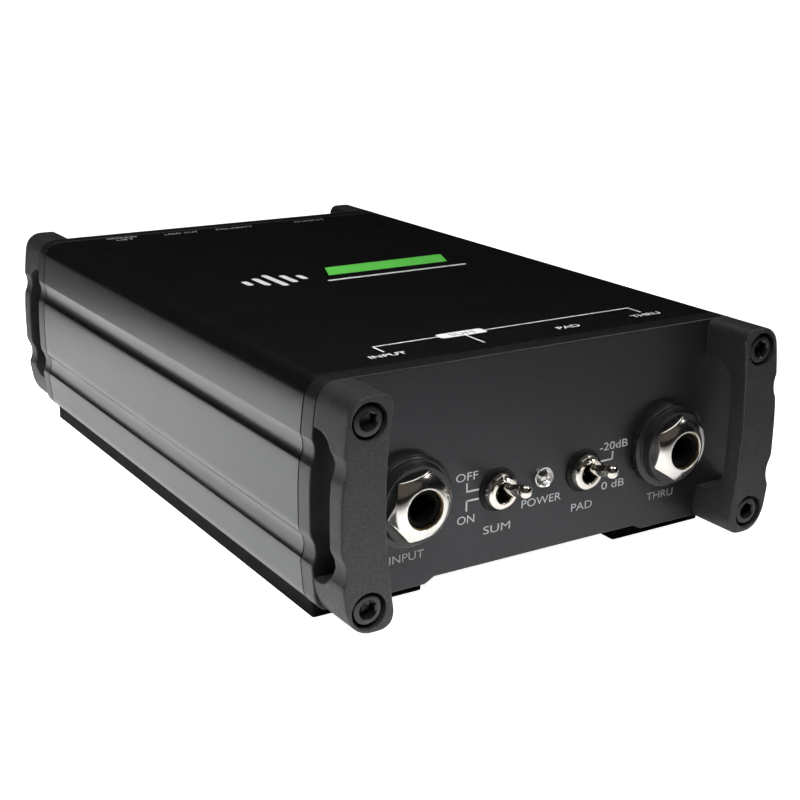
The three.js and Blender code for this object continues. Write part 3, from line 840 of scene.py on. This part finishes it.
def make_output():
    place = spot("output_xlr_insert")
    flange = rounded_rect(-13, 13, -15.5, 15.5, 3)
    screws = [(-9.5, 12), (9.5, -12)]
    holes = [circle(0, 0, 19, 72)] + [circle(x, z, 3.3) for x, z in screws]
    barrel = softened([(9.5, -0.5), (9.5, 20), (11.8, 20), (11.8, -0.5)], 0.2)
    shape = joined(
        prism(flange, -2, 0, holes=holes, edges=(0.45, 0)),
        turned(barrel, 72, closed=True),
    )
    piece(
        "output_shell", shape, SCREW_BLACK, place, stands_for=["output_xlr_shell"]
    )
    key = rounded_rect(-1.6, 1.6, -9.6, -8.3, 0.4, steps=3)
    piece("output_key", prism(key, 0.5, 12, edges=(0.3, 0)), PLASTIC, place)
    pins = [place.inverted() @ middle(f"output_xlr_pin_{i}") for i in PINS]
    pin_holes = [circle(p.x, p.z, 2.5, 24) for p in pins]
    insert = prism(circle(0, 0, 18.8, 72), 12, 20, pin_holes, edges=(0.25, 0))
    piece(
        "output_insert", insert, PLASTIC, place, stands_for=["output_xlr_insert"]
    )
    pin = softened(
        [(0, 1), (0.6, 1.1), (1, 1.5), (1.2, 2.2), (1.2, 20), (0.8, 20), (0.8, 24), (0, 24)],
        0.2, closed=False,
    )
    for i in PINS:
        node = f"output_xlr_pin_{i}"
        piece(
            f"output_pin_{i}", turned(pin, 32), SILVER, spot(node),
            stands_for=[node], sharp=50,
        )
    screw = socket_head(
        radius=2.8, top=-3.8, under=-2, flats=2, depth=1.2, bevel=0.9, shank=1.25, end=5.5
    )
    for level in ("upper", "lower"):
        node = f"output_xlr_screw_{level}"
        piece(
            f"output_screw_{level}", screw, SCREW_BLACK, spot(node),
            stands_for=[node],
        )


# ---------- prints ----------
INK_T = 0.02  # thickness of a print
LINE_W = 0.42
THIN = -0.003  # moves the letters' outlines inwards, at size 1
BOLD = 0.004  # and outwards
CAPITAL = 0.729  # capital height of the built-in face at size 1
BAR_HEIGHTS = (5, 9, 14, 9, 5)  # the level bars on the top
BARS_X = -30
BARS_Y = 3.2
BAR_PITCH = 4
BAR_HALF = 0.9


def lettering(text, x, y, width, height=2.0, weight=THIN):
    """Flat letters centred on (x, y) and fitted to a width and a capital height."""
    data = bpy.data.curves.new("letters", "FONT")
    data.body = text
    data.align_x = "CENTER"
    data.resolution_u = 4
    data.fill_mode = "FRONT"
    data.offset = weight
    maker = bpy.data.objects.new("letters", data)
    bpy.context.scene.collection.objects.link(maker)
    settled = maker.evaluated_get(bpy.context.evaluated_depsgraph_get())
    mesh = bpy.data.meshes.new_from_object(settled)
    xs = [v.co.x for v in mesh.vertices]
    wide = (max(xs) - min(xs)) or 1
    centre = (max(xs) + min(xs)) / 2
    points = [
        (x + (v.co.x - centre) / wide * width, y + (v.co.y / CAPITAL - 0.5) * height)
        for v in mesh.vertices
    ]
    faces = [list(p.vertices) for p in mesh.polygons]
    bpy.data.objects.remove(maker)
    return points, faces


def stroke(*points):
    """A line of ink through points, square at its ends."""
    vertices, faces = [], []
    for a, b in zip(points, points[1:]):
        start, end = Vector(a), Vector(b)
        on = (end - start).normalized() * LINE_W / 2
        side = Vector((-on.y, on.x))
        corner = [start - on - side, end + on - side, end + on + side, start - on + side]
        faces.append([len(vertices) + i for i in range(4)])
        vertices += [tuple(c) for c in corner]
    return vertices, faces


def patch(outline):
    triangles = tessellate_polygon([[Vector((x, y, 0)) for x, y in outline]])
    return outline, [list(face) for face in triangles]


def ink(name, shapes, material, lay):
    """Lays flat shapes on the object with lay(x, y), as one thin raised print."""
    points, faces = joined(*shapes)
    mesh = bpy.data.meshes.new(name)
    mesh.from_pydata([Vector(lay(x, y)) * MM for x, y in points], [], faces)
    mesh.materials.append(material)
    made = bpy.data.objects.new(name, mesh)
    bpy.context.scene.collection.objects.link(made)
    thick = made.modifiers.new("ink", "SOLIDIFY")
    thick.thickness = INK_T * MM
    thick.offset = 0
    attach(made, "case")


def make_prints():
    merge, pad = (middle(f"{name}_switch_nut").x for name in ("merge", "pad"))
    toggle_z = middle("merge_switch_nut").z
    front = [
        lettering("OFF", -20.7, 28.0, 5.9),
        lettering("ON", -20.8, 17.9, 4.6),
        lettering("SUM", merge, 14.2, 7.4),
        lettering("POWER", 0.2, 18.4, 11.3),
        lettering("PAD", pad, 14.6, 6.2),
        lettering("-20dB", 21.1, 28.1, 8.4),
        lettering("0 dB", 21.4, 18.3, 6.9),
        lettering("INPUT", -36.2, 12.4, 8.9),
        lettering("THRU", middle("thru_jack_nut").x, 12.7, 8.3),
        stroke((-20.7, 26.2), (-20.7, toggle_z + 1.1), (merge - 5.4, toggle_z + 1.1)),
        stroke((-20.7, 20.0), (-20.7, toggle_z - 1.1), (merge - 5.4, toggle_z - 1.1)),
        stroke((pad + 4.6, toggle_z + 1.3), (20.8, toggle_z + 1.3), (20.8, 26.3)),
    ]
    # the front legends in the greyer ink: painted shade on the white print
    ink("front_legends", front, INK_GREY_SHADED, lambda x, y: (x, -PANEL_Y - INK_T / 2, y))
    top = [
        lettering("INPUT", -34.6, -74, 9.2, weight=BOLD),
        lettering("THRU", 38.3, -74, 8.6, weight=BOLD),
        lettering("PAD", 14.6, -74, 6.4, weight=BOLD),
        stroke((-34.1, -71.4), (-34.1, -66.8), (-16.8, -66.8)),
        stroke((-4.1, -66.8), (38.9, -66.8), (38.9, -71.4)),
        stroke((-10.5, -68.5), (-10.5, -75.7)),
        patch(rounded_rect(-16.9, -4.1, -68.6, -65.0, 1.1, steps=5)),
        patch(rounded_rect(-10, 34, -4.6, -3.4, 0.5, steps=3)),
    ]
    for i, height in enumerate(BAR_HEIGHTS):
        x = BARS_X + BAR_PITCH * i
        low_y, high_y = BARS_Y - height / 2, BARS_Y + height / 2
        bar = rounded_rect(x - BAR_HALF, x + BAR_HALF, low_y, high_y, 0.8, steps=4)
        top.append(patch(bar))
    rear = [
        lettering("GROUND", -35.2, 78, 9.4),
        lettering("LIFT", -35.2, 74.8, 5.4),
        lettering("LOW CUT", -16.4, 76.4, 11),
        lettering("POLARITY", 1.5, 76.4, 12.5),
        lettering("OUTPUT", 27.9, 76.4, 11),
    ]
    top_z = CASE_Z + BODY_H - SKIN
    ink("top_legends", top, INK_WHITE, lambda x, y: (x, y, top_z + INK_T / 2))
    ink("rear_legends", rear, INK_GREY_SHADED, lambda x, y: (x, y, top_z + INK_T / 2))
    ink("top_pill_word", [lettering("SUM", -10.5, -66.8, 6.6, 1.9)], INK_DARK,
        lambda x, y: (x, y, top_z + INK_T))
    stripe = [patch([(-6.6, 1.6), (31.5, 1.6), (35.2, 10.6), (-2.9, 10.6)])]
    ink("top_stripe", stripe, INK_GREEN, lambda x, y: (x, y, top_z + INK_T / 2))


# ---------- what stays as the CAD made it ----------
KEPT = {
    "circuit_board": BOARD_GREEN,
    "supply_capacitor": PLASTIC,
    # jack bodies in the darker plastic: painted shade down the bores
    **{f"{jack}_jack_body": BORE_SHADE_BLACK for jack in ("input", "thru")},
    **{f"{jack}_jack_contact": BRASS for jack in ("input", "thru")},
    **{f"{toggle}_switch_body": PLASTIC for toggle in TOGGLES},
}


def dress_kept_nodes():
    for node, material in KEPT.items():
        mesh = NODES[node].data
        mesh.materials.clear()
        mesh.materials.append(material)


# ---------- stage, lights and camera ----------
FLOOR_REACH = 40.0  # metres from the middle to the floor's edges
FLOOR_GLOW = 1.0  # how bright floor and room look in the picture itself
ROOM_GLOW = 0.005  # what the dark room adds to reflections


def make_floor():
    """A pale floor that looks white from above, and lights the object only where lamps reach it."""
    mesh = bpy.data.meshes.new("floor")
    far = FLOOR_REACH
    mesh.from_pydata(
        [(-far, -far, 0), (far, -far, 0), (far, far, 0), (-far, far, 0)], [], [[0, 1, 2, 3]]
    )
    floor = bpy.data.objects.new("floor", mesh)
    bpy.context.scene.collection.objects.link(floor)
    made = Finish("pale_floor", (0.86, 0.86, 0.86), 0.85, Emission_Color=(1, 1, 1, 1))
    made.tint(made.noise(60), 0.99, 1.01)
    made.dull(made.noise(40), 0.03)
    seen = made.add("ShaderNodeLightPath").outputs["Is Camera Ray"]
    glow = made.remap(seen, 0, 1, 0, FLOOR_GLOW)
    made.tree.links.new(glow, made.shader.inputs["Emission Strength"])
    mesh.materials.append(made.material)


WHITE = (1.0, 1.0, 1.0)
WARM = (1.0, 0.88, 0.74)
# name, place, aim, size, watts, spread in degrees, colour, seen in polished pieces
SOFTBOXES = [
    ("left_pool", (-0.28, 0.07, 0.3), (-0.115, 0.08, 0), (0.3, 0.1), 0.345, 55, WHITE, False),
    ("front_pool", (-0.07, -0.24, 0.3), (-0.02, -0.11, 0), (0.12, 0.12), 0.15, 50, WHITE, False),
    ("overhead_softbox", (0.0, -0.12, 1.1), (0, 0, 0), (0.7, 0.7), 2.0, 180, WHITE, True),
    ("right_softbox", (0.75, -0.36, 1.0), (0, 0, 0), (0.4, 0.4), 3.5, 180, WHITE, True),
    ("front_scrim", (-0.5, -1.3, 0.9), (0, 0, 0), (2.6, 1.0), 0.6, 180, WARM, True),
    ("rear_softbox", (0.15, 0.55, 0.95), (0, 0, 0.03), (0.7, 0.3), 1.0, 180, WHITE, True),
]


def make_lights():
    for name, place, aim, size, power, spread, color, seen in SOFTBOXES:
        data = bpy.data.lights.new(name, "AREA")
        data.shape = "RECTANGLE"
        data.size, data.size_y = size
        data.energy = power
        data.color = color
        data.spread = math.radians(spread)
        light = bpy.data.objects.new(name, data)
        light.location = place
        light.rotation_mode = "QUATERNION"
        light.rotation_quaternion = (Vector(aim) - Vector(place)).to_track_quat("-Z", "Y")
        light.visible_glossy = seen
        bpy.context.scene.collection.objects.link(light)
    world = bpy.data.worlds.new("studio")
    world.use_nodes = True
    nodes, links = world.node_tree.nodes, world.node_tree.links
    background = nodes["Background"]
    background.inputs["Color"].default_value = (1, 1, 1, 1)
    seen = nodes.new("ShaderNodeLightPath")
    glow = nodes.new("ShaderNodeMapRange")
    glow.inputs["To Min"].default_value = ROOM_GLOW
    glow.inputs["To Max"].default_value = FLOOR_GLOW
    links.new(seen.outputs["Is Camera Ray"], glow.inputs["Value"])
    links.new(glow.outputs["Result"], background.inputs["Strength"])
    bpy.context.scene.world = world


CAMERA_AZIMUTH = 32.42  # turned from +Y towards +X
CAMERA_DOWN = 17.37
CAMERA_ROLL = 0.66
CAMERA_FROM = (-0.18884, -0.32354, 0.10912)  # from the middle of the CAD box
LENS_MM = 63.75
SENSOR_MM = 36
SHIFT_X = -0.005


def make_camera():
    data = bpy.data.cameras.new("camera")
    data.lens = LENS_MM
    data.sensor_width = SENSOR_MM
    data.shift_x = SHIFT_X
    data.clip_start = 0.01
    data.clip_end = 3 * FLOOR_REACH
    camera = bpy.data.objects.new("camera", data)
    middle_of_box = (CAD_BOX[0] + CAD_BOX[1]) / 2
    camera.location = middle_of_box + Vector(CAMERA_FROM)
    turn = Matrix.Rotation(math.radians(-CAMERA_AZIMUTH), 4, "Z")
    tip = Matrix.Rotation(math.radians(90 - CAMERA_DOWN), 4, "X")
    roll = Matrix.Rotation(math.radians(CAMERA_ROLL), 4, "Z")
    camera.rotation_mode = "QUATERNION"
    camera.rotation_quaternion = (turn @ tip @ roll).to_quaternion()
    bpy.context.scene.collection.objects.link(camera)
    bpy.context.scene.camera = camera


make_case()
make_plates()
make_bumpers()
make_case_screws()
make_feet()
make_jacks()
make_toggles()
make_indicator()
make_output()
make_prints()
dress_kept_nodes()
make_floor()
make_lights()
make_camera()
bpy.context.scene.view_settings.view_transform = "Standard"
